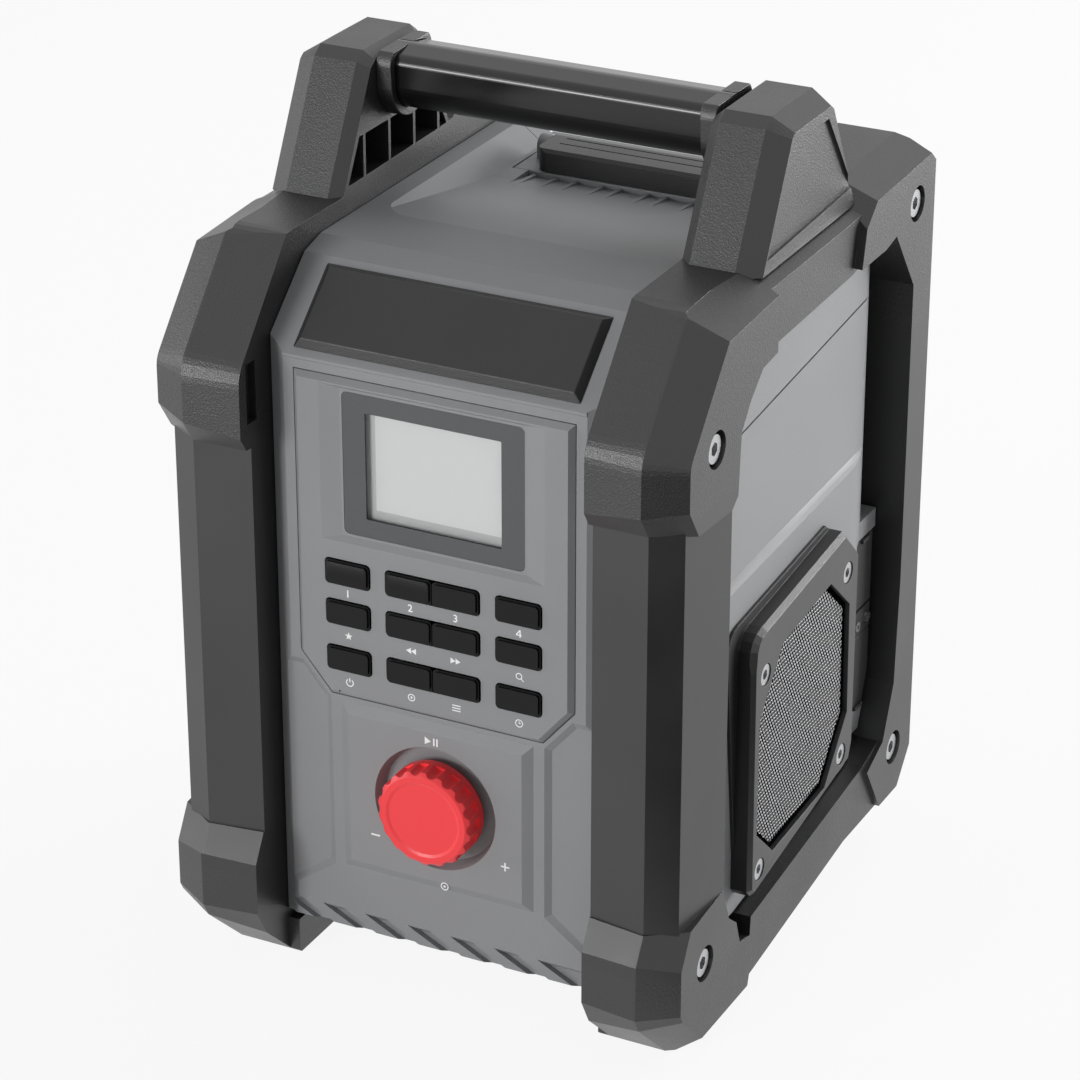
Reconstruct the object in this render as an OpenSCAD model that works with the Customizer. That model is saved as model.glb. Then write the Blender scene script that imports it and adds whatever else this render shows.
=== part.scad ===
// Jobsite radio with bumper side frames, carry handle, screen, twelve keys, push knob,
// stereo speakers, socket flaps and a latched rear battery door.
// Millimetres. X to the viewer's right, Y into the radio, Z up. The radio stands on Z = 0.

/* [Overall size] */
// width over the two side frames
overall_w = 192; // [188:1:198]
// depth from the front bumper faces to the rear bumper faces
overall_d = 208; // [206:1:212]
// how far the handle posts rise above the housing top
post_rise = 51; // [47:1:59]
// width of the housing between the side frames
core_w = 124; // [122:0.5:125]
// height of the housing top
core_top_z = 257; // [256:0.5:259]

/* [Side frames] */
// how far the frame top rail stands above the housing top
rail_rise = 7; // [6:0.5:9]
// how far each rail sits back from the bumper side face
rail_inset = 3; // [2:0.5:4]
// width of the flat front face before the outer bevel starts
face_w = 20.5; // [18:0.5:22]
// angle of the outer bevel
bevel_angle = 26.4; // [22:0.2:30]
// angle by which the front faces turn in towards the housing
toe_angle = 5.5; // [3:0.5:7]
// how far the corner posts sit back from the bumpers
post_back = 5.8; // [5:0.2:6.5]
// thickness of each rib in the handle post pocket
rib_t = 1.6; // [1.2:0.2:2.4]

/* [Handle] */
// radius of the round underside of the grip
grip_r = 11; // [10:0.5:11.5]
// width of the collar at each end of the grip
collar_w = 5.6; // [4:0.2:7]
// wall thickness of the collar
collar_wall = 3; // [2:0.2:3.2]

/* [Control panel] */
// width of the control panel
panel_w = 102; // [100:0.5:104]
// width of the screen window
window_w = 49.7; // [46:0.1:52]
// height of the screen window
window_h = 37.7; // [35:0.1:39]
// width of the screen lens
lens_w = 66.2; // [64:0.1:68]
// height of the screen lens
lens_h = 50.4; // [48:0.1:52]
// width of one side key
key_w = 16.5; // [15.5:0.1:17]
// height of every key
key_h = 8.8; // [8:0.1:9.6]
// clearance around each key
key_gap = 0.35; // [0.3:0.05:0.5]
// how far a key travels when pressed
key_travel = 0.8; // [0.5:0.1:0.9]
// how far a key stands out of the panel
key_out = 1.4; // [1.2:0.1:2]

/* [Knob] */
// radius of the knob
knob_r = 17.5; // [16.5:0.1:18]
// number of finger flutes on the knob
flutes = 18; // [14:1:22]
// radius of the dish around the knob
dish_r = 22.8; // [22:0.1:24]
// length of the knob
knob_len = 11; // [10.4:0.1:11.4]

/* [Speakers] */
// how far each speaker frame stands out of the housing side
speaker_out = 7.5; // [6.5:0.1:7.9]
// radius of the speaker cone opening
cone_r = 29; // [26:0.5:30]
// radius of each speaker screw head
speaker_head_r = 3.7; // [3.2:0.1:4]

/* [Battery bay] */
// width of the battery bay
bay_w = 82; // [76:1:83]
// height of the battery bay
bay_h = 160; // [150:1:172]
// thickness of the door plate
door_t = 4; // [3.4:0.1:4.4]

/* [Screws] */
// radius of the counterbore of each frame screw
frame_bore_r = 6.4; // [5.8:0.1:6.8]
// radius of each frame screw head
frame_head_r = 4.8; // [4.2:0.1:5.2]

/* [Fits] */
// gap between separate fixed pieces
gap = 0.3; // [0.3:0.05:0.4]
// radial running clearance of shafts and pins
run = 0.05; // [0.03:0.01:0.08]

/* [Hidden] */
$fn = 48;
far = 400;
half_w = overall_w / 2;
mid_y = overall_d / 2;
post_top_z = core_top_z + post_rise;
rail_top_z = core_top_z + rail_rise;
frame_x0 = core_w / 2;
frame_xc = frame_x0 + face_w;
rail_x = half_w - rail_inset;
core_x = frame_x0 - gap;
front_y = 18.3;
panel_y = 16.5;
wall_back_y = 23.3;
seam_y = rear(23.5);
rear_y = rear(14);
door_y = rear_y + gap;
side_x = half_w - 8;
key_rows = [155.9, 141.1, 124.1];
side_key_x = panel_w / 2 - 19.4;
mid_key_x = 8.65;
mid_key_w = 17.3;
knob_z = 75.6;
knob_face_y = 7.5;
lens_z = top(61.7);
slope_y0 = 17.9;
slope_z0 = top(27.2);
slope_y1 = 45.3;
slope_z1 = top(2.8);
slope_a = atan2(slope_z1 - slope_z0, slope_y1 - slope_y0);
cone_y = mid_y;
cone_z = 92;
grip_y = mid_y + 6;
grip_z = post_top_z - 11.6;
latch_y = rear(50);
latch_axis_y = latch_y + 15.2;
latch_axis_z = top(2.6);
dish_floor_z = top(7);
hinge_y = rear_y + 4.4;
hinge_z = 40;
bay_z0 = 62;
bay_x = bay_w / 2;
bay_y0 = rear(94);
board_y = 34;
board_post_x = 44;
board_post_z = [50, top(35)];
panel_top_z = slope_z0 - 4.8;
flap_x = half_w - 10.2;
// small step that keeps neighbouring bevels from meeting in one point
stagger = 0.05;
switch_y = 31.4;
screw_r = 1.65;

// which part to show

// ---- helpers ----

// depth of a point that lies d in front of the rear bumper faces
function rear(d) = overall_d - d;

// height of a point that lies d below the housing top
function top(d) = core_top_z - d;

// moves from the front-face datum to the centre of the footprint
module place() {
  translate([0, -overall_d / 2, 0]) children();
}

// extrudes a side-view outline (Y, Z) from x0 to x1
module along_x(x0, x1) {
  translate([x0, 0, 0]) rotate([90, 0, 90]) linear_extrude(x1 - x0) children();
}

// extrudes a front-view outline (X, Z) from y0 to y1
module along_y(y0, y1) {
  translate([0, y1, 0]) rotate([90, 0, 0]) linear_extrude(y1 - y0) children();
}

// extrudes a plan-view outline (X, Y) from z0 to z1
module along_z(z0, z1) {
  translate([0, 0, z0]) linear_extrude(z1 - z0) children();
}

// box given by its two corners
module box(a, b) {
  translate(a) cube([b[0] - a[0], b[1] - a[1], b[2] - a[2]]);
}

// cylinder along X
module rod_x(x0, x1, y, z, r) {
  translate([x0, y, z]) rotate([0, 90, 0]) cylinder(h = x1 - x0, r = r);
}

// cylinder along Y
module rod_y(y0, y1, x, z, r) {
  translate([x, y1, z]) rotate([90, 0, 0]) cylinder(h = y1 - y0, r = r);
}

// rectangle with rounded corners about its centre
module round_rect(w, h, r) {
  offset(r) square([w - 2 * r, h - 2 * r], center = true);
}

// puts a front-view outline at a point
module at_xz(x, z) {
  translate([x, z]) children();
}

// points of a rounded fold at corner q between the edges from p and to r, starting t from the corner
function fold(p, q, r, t, n) = [for (k = [0 : n])
  let(s = k / n, a = q + (p - q) * t / norm(p - q), b = q + (r - q) * t / norm(r - q))
    a * (1 - s) * (1 - s) + q * 2 * s * (1 - s) + b * s * s];

// copies a right-hand shape to both sides
module both_sides() {
  children();
  mirror([1, 0, 0]) children();
}

// cutter that lies on the outline edge p to q and falls away beyond x
module edge_cut(p, q, x, a) {
  translate([x, p[0], p[1]]) rotate([atan2(q[1] - p[1], q[0] - p[0]), 0, 0])
    rotate([0, a, 0]) translate([-2, -far, 0]) cube([far, 2 * far, far]);
}

// cutter that lies on the outline edge p to q and falls away inside x
module toe_cut(p, q, x, a) {
  translate([x, p[0], p[1]]) rotate([atan2(q[1] - p[1], q[0] - p[0]), 0, 0])
    rotate([0, -a, 0]) translate([2 - far, -far, 0]) cube([far, 2 * far, far]);
}

// block along X with a bevel on the listed edges of its clockwise outline
module bevel_block(pts, x0, x1, xc, a, edges) {
  difference() {
    along_x(x0, x1) polygon(pts);
    for (i = edges) edge_cut(pts[i], pts[(i + 1) % len(pts)], xc + i * stagger, a);
  }
}

// raised plate on the XZ plane at y0, standing out towards -Y by t with bevelled edges
module raised_plate(w, h, t, b) {
  a = atan2(t, b);
  difference() {
    translate([-w / 2, -t, -h / 2]) cube([w, t, h]);
    for (s = [-1, 1]) {
      translate([s * w / 2, 0, 0]) rotate([0, 0, -s * (90 - a)])
        translate([s > 0 ? 0 : -far, -far / 2, -far / 2]) cube([far, far, far]);
      translate([0, 0, s * h / 2]) rotate([s * (90 - a), 0, 0])
        translate([-far / 2, -far / 2, s > 0 ? 0 : -far]) cube([far, far, far]);
    }
  }
}

// ---- side frames ----

nose_pt = [0, top(30.6)];
brow_pt = [32.5, rail_top_z];
nose_steps = 5;
brow_steps = 4;
upper_pts = concat([[0, top(50.6)]], fold([0, top(50.6)], nose_pt, brow_pt, 5.4, nose_steps),
  fold(nose_pt, brow_pt, [70, rail_top_z], 5, brow_steps),
  [[70, rail_top_z], [rear(58), rail_top_z + 4], [rear(58), top(15.4)], [rear(69), top(17)],
    [75, top(18.5)], [60.5, top(20)], [51.5, top(27.7)], [44.9, top(36)], [43.4, top(57.2)],
    [38.8, top(60.5)], [post_back - 0.4, top(58.6)]]);
rear_pts = [[rear(31), 20.7], [rear(44), 40.7], [rear(30), 46.7], [rear(21.5), 66.7], [rear(19.4), 107],
  [rear(19.4), top(37)], [rear(37), top(13.2)], [rear(46), top(15)], [rear(67), top(15)],
  [rear(61.5), rail_top_z + 2], [rear(58), rail_top_z + 5], [rear(10), rail_top_z + 6.5],
  [rear(0), rail_top_z - 2], [rear(0), 32], [rear(10), 20.7]];
foot_pts = [[24, 0], [3, 19.5], [0, 25], [0, 45.4], [post_back - 0.4, 54.8], [38.8, 58], [44, 44.5],
  [50.3, 39.5],
  [55, 26], [64, 19], [61, 9], [54, 0]];
handle_pts = [[grip_y - 42.7, rail_top_z - 2], [grip_y - 20.5, post_top_z - 3], [grip_y - 16, post_top_z],
  [grip_y + 16, post_top_z], [grip_y + 20.5, post_top_z - 3], [grip_y + 42.7, rail_top_z - 2]];
pocket_z = rail_top_z + 2.5;
pocket_pts = [[grip_y - 34.5, pocket_z], [grip_y - 26.5, pocket_z + 15], [grip_y + 26.5, pocket_z + 15],
  [grip_y + 34.5, pocket_z + 1]];
pocket_ribs = [-23.2, -6, 11.3, 28.5];
field_pts = [[grip_y - 11, post_top_z - 8.5], [grip_y + 13, post_top_z - 8.5],
  [grip_y + 35, pocket_z + 2.5],
  [grip_y - 34, pocket_z]];

module corner_post() {
  drop = tan(bevel_angle) * (half_w - 3.2 - frame_xc);
  along_z(52, top(54)) polygon([[frame_x0, post_back + 2.6], [frame_xc, post_back],
    [half_w - 3.2, post_back + drop], [half_w, 38.8], [frame_x0, 38.8]]);
}

module upper_loop() {
  difference() {
    along_x(frame_x0, half_w) polygon(upper_pts);
    for (i = [0 : nose_steps + brow_steps + 3]) edge_cut(upper_pts[i], upper_pts[i + 1],
      frame_xc + i * stagger, bevel_angle);
    for (i = [0 : nose_steps + 1]) toe_cut(upper_pts[i], upper_pts[i + 1], frame_xc - 0.3 - i * stagger,
      toe_angle);
    // slot in the inner face beside the housing
    box([frame_x0 - 1, 6.5, top(50)], [frame_x0 + 3, 12.5, top(29)]);
    box([rail_x, 72, top(57)], [far, rear(56), far]);
    edge_cut([post_back - 0.4, top(58.6)], [0, top(50.6)], frame_xc - stagger, bevel_angle);
  }
}

module rear_loop() {
  difference() {
    along_x(frame_x0, half_w) polygon(rear_pts);
    for (i = [9, 10]) edge_cut(rear_pts[i], rear_pts[i + 1], frame_xc + i * stagger, bevel_angle);
    for (i = [11 : 13]) edge_cut(rear_pts[i], rear_pts[i + 1], half_w - 9 + i * stagger, 20);
  }
}

module foot_block() {
  difference() {
    along_x(frame_x0 - 4, half_w) polygon(foot_pts);
    for (i = [0 : 3]) edge_cut(foot_pts[i], foot_pts[i + 1], frame_xc + 0.1 + i * stagger, bevel_angle);
    for (i = [1 : 3]) toe_cut(foot_pts[i], foot_pts[i + 1], frame_xc - 0.3 - i * stagger, toe_angle);
    edge_cut(foot_pts[11], foot_pts[0], frame_xc + 3, 40);
    box([-far, -1, 13.4], [frame_x0, far, far]);
    box([-far, -1, -1], [frame_x0, 23, far]);
  }
}

module bottom_rail() {
  along_x(frame_x0, rail_x + 1.2) polygon([[54, 12], [56, 28], [66, 25.6], [66.5, 32.6],
    [rear(54), 42], [rear(44), 43], [rear(30), 46.7], [rear(18), 50], [rear(18), 20.4],
    [rear(60), 20.4], [61, 9.3]]);
}

module handle_post() {
  outer = rail_x - 3.3;
  difference() {
    bevel_block(handle_pts, frame_x0, outer, frame_xc - 0.5, 32, [0 : 4]);
    for (i = [0 : 4]) toe_cut(handle_pts[i], handle_pts[i + 1], frame_x0 + 4 - i * stagger, 40);
    along_x(outer - 1.2, far) polygon(field_pts);
    difference() {
      along_x(-1, frame_x0 + 14) polygon(pocket_pts);
      for (y = pocket_ribs) box([0, grip_y + y - rib_t / 2, pocket_z - 9],
        [far, grip_y + y + rib_t / 2, pocket_z + 30]);
    }
    rod_x(frame_x0 - 1, frame_x0 + 12.3, grip_y, grip_z, 6 + run);
  }
}

module frame_solid() {
  difference() {
    union() {
      corner_post();
      upper_loop();
      rear_loop();
      foot_block();
      bottom_rail();
      handle_post();
    }
    for (s = frame_screw_at) {
      rod_x(half_w - 4.5, far, s[0], s[1], frame_bore_r);
      rod_x(frame_x0 - 5, half_w, s[0], s[1], 2.2);
    }
    translate([foot_x, foot_y, -1]) cylinder(h = 27, r = 4 + run);
  }
}

frame_screw_at = [[26.3, top(34.6)], [rear(18.8), top(7.5)], [25.4, 37.1], [rear(19.3), 39.4]];
foot_x = frame_x0 + 10;
foot_y = rear(36);

module frame_right() {
  color([0.13, 0.13, 0.14]) place() frame_solid();
}

module frame_left() {
  color([0.13, 0.13, 0.14]) place() mirror([1, 0, 0]) frame_solid();
}

// ---- handle ----

module grip_outline(grow) {
  hull() {
    circle(grip_r + grow);
    for (s = [-1, 1]) translate([s * 8, 6.2]) circle(3.5 + grow);
  }
}

module handle_grip() {
  color([0.05, 0.05, 0.06]) place() union() {
    translate([0, grip_y, grip_z]) along_x(-frame_x0, frame_x0) grip_outline(0);
    rod_x(-frame_x0 - 12, frame_x0 + 12, grip_y, grip_z, 6);
  }
}

module collars() {
  color([0.10, 0.10, 0.11]) place() both_sides()
    translate([0, grip_y, grip_z]) along_x(frame_x0 - collar_w, frame_x0) difference() {
      intersection() {
        grip_outline(collar_wall);
        translate([-far / 2, -far]) square([far, far + post_top_z - 0.6 - grip_z]);
      }
      grip_outline(0.1);
    }
}

// ---- housing ----

core_pts = [[28, 14], [front_y + 3, 18.2], [front_y + 2.2, 24], [front_y, 26.2], [front_y, slope_z0 - 1.4], [slope_y0, slope_z0 - 1],
  [slope_y0, slope_z0],
  [slope_y1, slope_z1], [56, core_top_z], [rear_y, core_top_z], [rear_y, 14]];
core_cavity = [[wall_back_y, 30], [wall_back_y, slope_z0 - 3.8], [47, top(7.6)], [57, core_top_z - 3.4],
  [83, core_top_z - 3.4],
  [rear(62), dish_floor_z - 3.4], [rear(56), top(14.6)], [rear_y - 4, top(14.6)], [rear_y - 4, 17],
  [30, 17]];
side_outline = [[39.3, 60], [44.1, 47.5], [51.2, 41.5], [54.6, 33.6], [65.8, 33.6],
  [rear(54), 42.8], [rear(44.2), 43.8], [rear(30.7), 47.5], [rear(22.3), 67], [rear(20.3), 107],
  [rear(20.3), top(37.5)], [rear(37.2), top(14.2)], [rear(46), top(15.6)], [rear(69), top(17.6)],
  [75, top(19)], [60.9, top(20.4)], [51.9, top(28.2)], [45.3, top(36.1)], [43.8, top(57.4)],
  [39.3, top(60.7)]];
round_r = 50;
round_y = rear(50);
rib_pitch = 16.6;
dish_rib_at = [-34.4, -26.2, -18.4, -8.2, -1.5, 9.2, 16.1, 26.5, 34.2];

// plan of one side bulge with its rounded rear
module bulge_plan(inset) {
  polygon(concat([[0, 39 + inset], [side_x - 2.4 - inset, 39 + inset], [side_x - inset, 46]],
    [for (t = [0 : 4 : 36]) [side_x - round_r + (round_r - inset) * cos(t),
      round_y + (round_r - inset) * sin(t)]],
    [[0, round_y + (round_r - inset) * sin(36)]]));
}

module bulge() {
  difference() {
    intersection() {
      along_x(core_x - 1, far) polygon(side_outline);
      along_z(0, 300) bulge_plan(0);
    }
    // upper side sits back behind a bevelled ledge
    along_x(side_x - 1, far) polygon([[38, 156.7], [190, 162.9], [190, 250], [38, 250]]);
    edge_cut([64, 157.8], [165, 161.9], side_x - 1, 45);
    // seam line across the upper side
    along_x(side_x - 1.7, far) polygon([[38, 207.7], [38, 208.5], [190, 222.8], [190, 222]]);
  }
}

// flat pad behind the right speaker that carries the flaps
module flap_pad() {
  intersection() {
    along_x(core_x - 1, flap_x) polygon(side_outline);
    box([0, rear(56), 50], [far, rear(20), 134]);
  }
}

module bulge_cavity() {
  intersection() {
    along_x(core_x - 4, side_x - 3) offset(delta = -3) polygon(side_outline);
    along_z(0, 300) bulge_plan(3);
  }
}

// dished top with sloped sides, a rising floor and round front corners
module top_dish() {
  intersection() {
    along_y(60, far) polygon([[-55, core_top_z + 0.5], [-55, far], [55, far], [55, core_top_z + 0.5],
      [45, dish_floor_z], [-45, dish_floor_z]]);
    along_x(-60, 60) polygon([[82, core_top_z], [82, far], [far, far], [far, dish_floor_z],
      [rear(62), dish_floor_z]]);
    along_z(0, far) union() {
      translate([0, 142]) round_rect(109, 120, 12);
      translate([-54.5, 142]) square([109, 200]);
    }
  }
  // ribbed finger scoop in front of the latch bar
  difference() {
    along_x(-37, 37) polygon([[rear(66), dish_floor_z + 0.44], [rear(66), dish_floor_z + 3],
      [latch_y, dish_floor_z + 3], [latch_y, dish_floor_z - 2.2]]);
    for (x = dish_rib_at) along_x(x - 0.7, x + 0.7) polygon([[rear(65), dish_floor_z - 5],
      [rear(65), dish_floor_z + 0.2], [latch_y + 1, dish_floor_z - 1.2], [latch_y + 1, dish_floor_z - 5]]);
  }
}

module key_slots(grow, y0, y1) {
  along_y(y0, y1) for (z = key_rows) {
    for (s = [-1, 1]) at_xz(s * side_key_x, z) round_rect(key_w + grow, key_h + grow, 1.8);
    at_xz(0, z) round_rect(2 * mid_key_w + grow, key_h + grow, 1.8);
  }
}

module panel_outline(shrink) {
  offset(delta = -shrink) polygon([[-panel_w / 2, panel_top_z], [panel_w / 2, panel_top_z],
    [panel_w / 2, 123], [39.5, 109.5], [-39.5, 109.5], [-panel_w / 2, 123]]);
}

// raised parts of the front wall
module front_relief() {
  translate([0, front_y, 75.7]) raised_plate(72, 63, 2, 3.4);
  // slanted ribs along the lower edge
  intersection() {
    along_x(-core_x, core_x) polygon([[30, 26.8], [front_y, 26.8], [front_y, 24.7], [front_y + 0.8, 19],
      [30, 14.6]]);
    along_y(front_y - 1, 32) for (i = [0 : 6]) polygon([[-71.2 + rib_pitch * i, 26.8],
      [-63.3 + rib_pitch * i, 26.8], [-40.9 + rib_pitch * i, 14], [-50.1 + rib_pitch * i, 14]]);
  }
}

// posts inside the housing for two of the frame screws
module side_posts(screws) {
  both_sides() for (s = screws) rod_x(core_x - 11, core_x - 1, s[0], s[1], 4.2);
}

module board_posts() {
  for (x = [-1, 1], z = board_post_z) rod_y(wall_back_y - 1, board_y, x * board_post_x, z, 3.4);
}

module screw_holes() {
  both_sides() {
    for (s = frame_screw_at) rod_x(core_x - 13, far, s[0], s[1], screw_r + run);
    for (s = speaker_screw_at) rod_x(side_x - 8, far, s[0], s[1], 1.2 + run);
  }
  for (x = [-1, 1], z = board_post_z) rod_y(wall_back_y + 2, 60, x * board_post_x, z, 1.2);
}

module housing_front() {
  color([0.33, 0.34, 0.35]) place() difference() {
    union() {
      difference() {
        union() {
          along_x(-core_x, core_x) polygon(core_pts);
          both_sides() bulge();
          flap_pad();
          front_relief();
        }
        along_x(-core_x + 3, core_x - 3) polygon(core_cavity);
        both_sides() bulge_cavity();
        box([core_x - 4, rear(50), 54], [flap_x - 5.4, rear(23.8), 130]);
      }
      side_posts([frame_screw_at[0], frame_screw_at[2]]);
      board_posts();
    }
    box([-frame_x0, seam_y, 0], [frame_x0, far, far]);
    screw_holes();
    top_dish();
    // corner bevels of the front
    both_sides() along_z(0, 300) polygon([[55, front_y - 0.01], [far, front_y - 0.01 + far / 2],
      [far, -9], [55, -9]]);
    // recesses beside the knob panel
    both_sides() hull() {
      along_y(front_y - 0.1, front_y) polygon([[40, 43.2], [40, 107.4], [50.4, 119.4], [58.6, 119.4],
        [58.6, 29.6]]);
      along_y(front_y + 1.38, front_y + 1.4) polygon([[42.2, 44.4], [42.2, 106.4], [51.2, 117],
        [58.6, 117], [58.6, 32.2]]);
    }
    // pocket, screen opening and key openings
    along_y(front_y - 1, 20.9) panel_outline(-0.3);
    along_y(10, 40) at_xz(0, lens_z) square([window_w + 4, window_h + 4], center = true);
    key_slots(2.4, 20, 40);
    // knob dish and bush hole
    translate([0, 21.5, knob_z]) rotate([90, 0, 0]) cylinder(h = 5.3, r1 = dish_r - 1.5, r2 = dish_r + 0.1);
    rod_y(0, 40, 0, knob_z, 4.8);
    // speaker openings
    both_sides() rod_x(side_x - 6, far, cone_y, cone_z, cone_r);
    // notch for the lip of the battery door
    box([-43.4, latch_y - 0.4, top(11 + gap)], [43.4, far, far]);
    flap_pocket();
  }
}

// recess and holes for the flaps and the sockets, right side only
module flap_pocket() {
  along_x(flap_x - 2.2, far) polygon([[flap_y0 - 0.4, 58.8], [rear(18), 58.8], [rear(18), 126.8],
    [flap_y0 - 0.4, 126.8]]);
  rod_x(60, far, socket_y, aux_z, 4.2);
  rod_x(60, far, socket_y, power_z, 6.2);
  for (y = strip_screw_y) rod_x(flap_x - 5, far, y, strip_z, 0.8 + run);
}

module housing_rear() {
  color([0.33, 0.34, 0.35]) place() difference() {
    union() {
      difference() {
        along_x(-core_x, core_x) polygon([[seam_y + gap, 14], [seam_y + gap, core_top_z],
          [rear_y, core_top_z],
          [rear_y, 14]]);
        box([-core_x + 3, 0, 17], [core_x - 3, rear_y - 4, top(14.6)]);
      }
      box([-bay_x - 3, bay_y0 - 3, bay_z0 - 3], [bay_x + 3, rear_y, bay_z0 + bay_h + 3]);
      side_posts([frame_screw_at[1], frame_screw_at[3]]);
      // lugs that carry the door pin
      both_sides() for (x = [17, 38.6]) {
        rod_x(x, x + 4.6, hinge_y, hinge_z, 3.4);
        box([x, rear_y - 1, hinge_z - 3.4], [x + 4.6, hinge_y, hinge_z + 3.4]);
      }
    }
    box([-bay_x, bay_y0, bay_z0], [bay_x, far, bay_z0 + bay_h]);
    box([-43.4, 0, top(11 + gap)], [43.4, far, far]);
    top_dish();
    screw_holes();
    rod_x(-far, far, hinge_y, hinge_z, 1.5);
  }
}

// ---- control panel and keys ----

module control_panel() {
  color([0.36, 0.37, 0.38]) place() difference() {
    union() {
      along_y(panel_y + 1.8, 20.9) panel_outline(0);
      hull() {
        along_y(panel_y, panel_y + 0.02) panel_outline(1.8);
        along_y(panel_y + 1.78, panel_y + 1.8) panel_outline(0);
      }
    }
    // sloped frame round the screen
    hull() {
      along_y(panel_y - 0.1, panel_y) at_xz(0, lens_z - 0.4) square([lens_w + 15.8, lens_h + 5],
        center = true);
      along_y(panel_y + 1.3, panel_y + 1.4) at_xz(0, lens_z) square([lens_w + 2, lens_h + 2],
        center = true);
    }
    along_y(10, 19.8) at_xz(0, lens_z) round_rect(lens_w + 0.2, lens_h + 0.2, 2);
    along_y(10, 40) at_xz(0, lens_z) square([window_w + 2, window_h + 2], center = true);
    key_slots(2 * key_gap, 10, 40);
    // sloped frame at the foot of the panel
    along_y(10, panel_y + 0.7) polygon([[-36, 112], [36, 112], [36, 109], [-36, 109]]);
  }
}

module screen_lens() {
  color([0.2, 0.21, 0.22, 0.4]) place() along_y(panel_y + 1.5, 19.8) at_xz(0,
    lens_z) round_rect(lens_w, lens_h, 1.9);
}

module lcd_module() {
  color([0.72, 0.74, 0.74]) place() box([-29, wall_back_y + gap, lens_z - 23.5], [29, 29, lens_z + 23.5]);
}

module control_board() {
  color([0.10, 0.32, 0.20]) place() difference() {
    box([-board_post_x - 6, board_y, board_post_z[0] - 6],
      [board_post_x + 6, board_y + 1.6, board_post_z[1] + 4]);
    for (x = [-1, 1], z = board_post_z) rod_y(0, far, x * board_post_x, z, 1.2);
  }
}

module key_switches() {
  color([0.75, 0.76, 0.77]) place() for (z = key_rows, x = key_xs)
    translate([x, 0, z]) union() {
      box([-3, switch_y + 0.9, -3], [3, board_y, 3]);
      rod_y(switch_y, switch_y + 1, 0, 0, 1.7);
    }
}

key_xs = [-side_key_x, -mid_key_x, mid_key_x, side_key_x];

// one key: cap, flange behind the wall and stem
module key(n) {
  col = (n - 1) % 4;
  row = floor((n - 1) / 4);
  mid = col == 1 || col == 2;
  w = mid ? mid_key_w - gap : key_w;
  color([0.05, 0.05, 0.055]) place() translate([key_xs[col], 0, key_rows[row]]) union() {
    along_y(panel_y - key_out + 0.8, wall_back_y + 1.4) round_rect(w, key_h, 1.5);
    along_y(panel_y - key_out, panel_y - key_out + 0.8) round_rect(w - 1.2, key_h - 1.2, 1.2);
    box([-w / 2 - (mid ? -0.1 : 2.4), wall_back_y + gap, -key_h / 2 - 2.4],
      [w / 2 + (mid ? -0.1 : 2.4), wall_back_y + 1.5, key_h / 2 + 2.4]);
    rod_y(wall_back_y + 1.5, switch_y - key_travel - 0.1, 0, 0, 2.4);
  }
}
module key_1() { key(1); }
module key_2() { key(2); }
module key_3() { key(3); }
module key_4() { key(4); }
module key_5() { key(5); }
module key_6() { key(6); }
module key_7() { key(7); }
module key_8() { key(8); }
module key_9() { key(9); }
module key_10() { key(10); }
module key_11() { key(11); }
module key_12() { key(12); }

// blank plate on the slope
module name_plate() {
  color([0.06, 0.06, 0.065]) place() translate([0, (slope_y0 + slope_y1) / 2, (slope_z0 + slope_z1) / 2])
    rotate([slope_a - 90, 0, 0]) raised_plate(104, 31.6, 2.6, 2.6);
}

// ---- knob ----

module encoder() {
  color([0.62, 0.63, 0.64]) place() difference() {
    union() {
      box([-7, wall_back_y + 1.6, knob_z - 7], [7, board_y, knob_z + 7]);
      rod_y(wall_back_y - 2, wall_back_y + 2, 0, knob_z, 4.5);
    }
    rod_y(0, wall_back_y + 6, 0, knob_z, 3 + run);
    rod_y(wall_back_y + 3, wall_back_y + 6, 0, knob_z, 4.3 + run);
  }
}

module encoder_rotor() {
  color([0.70, 0.66, 0.50]) place() difference() {
    union() {
      rod_y(19.2, wall_back_y + 5.5, 0, knob_z, 3);
      rod_y(wall_back_y + 3.4, wall_back_y + 5.5, 0, knob_z, 4.3);
    }
    d_rod(0, 60, 2 + run);
  }
}

// D-shaped rod on the knob axis
module d_rod(y0, y1, r) {
  difference() {
    rod_y(y0, y1, 0, knob_z, r);
    box([-r, y0 - 1, knob_z + r - 0.6], [r, y1 + 1, knob_z + r + 1]);
  }
}

module encoder_shaft() {
  color([0.72, 0.73, 0.74]) place() d_rod(knob_face_y + 3, wall_back_y + 4.8, 2);
}

module knob() {
  color([0.80, 0.05, 0.05]) place() difference() {
    union() {
      rod_y(knob_face_y + 1.2, knob_face_y + knob_len - 0.6, 0, knob_z, knob_r);
      translate([0, knob_face_y + 1.2, knob_z]) rotate([90, 0, 0]) cylinder(h = 1.2, r1 = knob_r,
        r2 = knob_r - 1.6);
      translate([0, knob_face_y + knob_len, knob_z]) rotate([90, 0, 0]) cylinder(h = 0.6,
        r1 = knob_r - 0.6, r2 = knob_r);
    }
    for (i = [0 : flutes - 1]) rotate_knob(i * 360 / flutes)
      rod_y(0, knob_face_y + 7.4, knob_r + 1.4, 0, 2.5);
    // shallow dish in the face
    translate([0, knob_face_y + 0.5, knob_z]) rotate([90, 0, 0]) cylinder(h = 1, r1 = 12.9, r2 = 14.9);
    // bore and hollow back
    d_rod(knob_face_y + 3, 60, 2);
    difference() {
      rod_y(knob_face_y + 4, 60, 0, knob_z, 13.6);
      rod_y(knob_face_y + 3, 60, 0, knob_z, 3.6);
    }
    rod_y(knob_face_y + knob_len - 1.6, 60, 0, knob_z, 13.6);
  }
}

module rotate_knob(a) {
  translate([0, 0, knob_z]) rotate([0, a, 0]) children();
}

// ---- speakers ----

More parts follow.
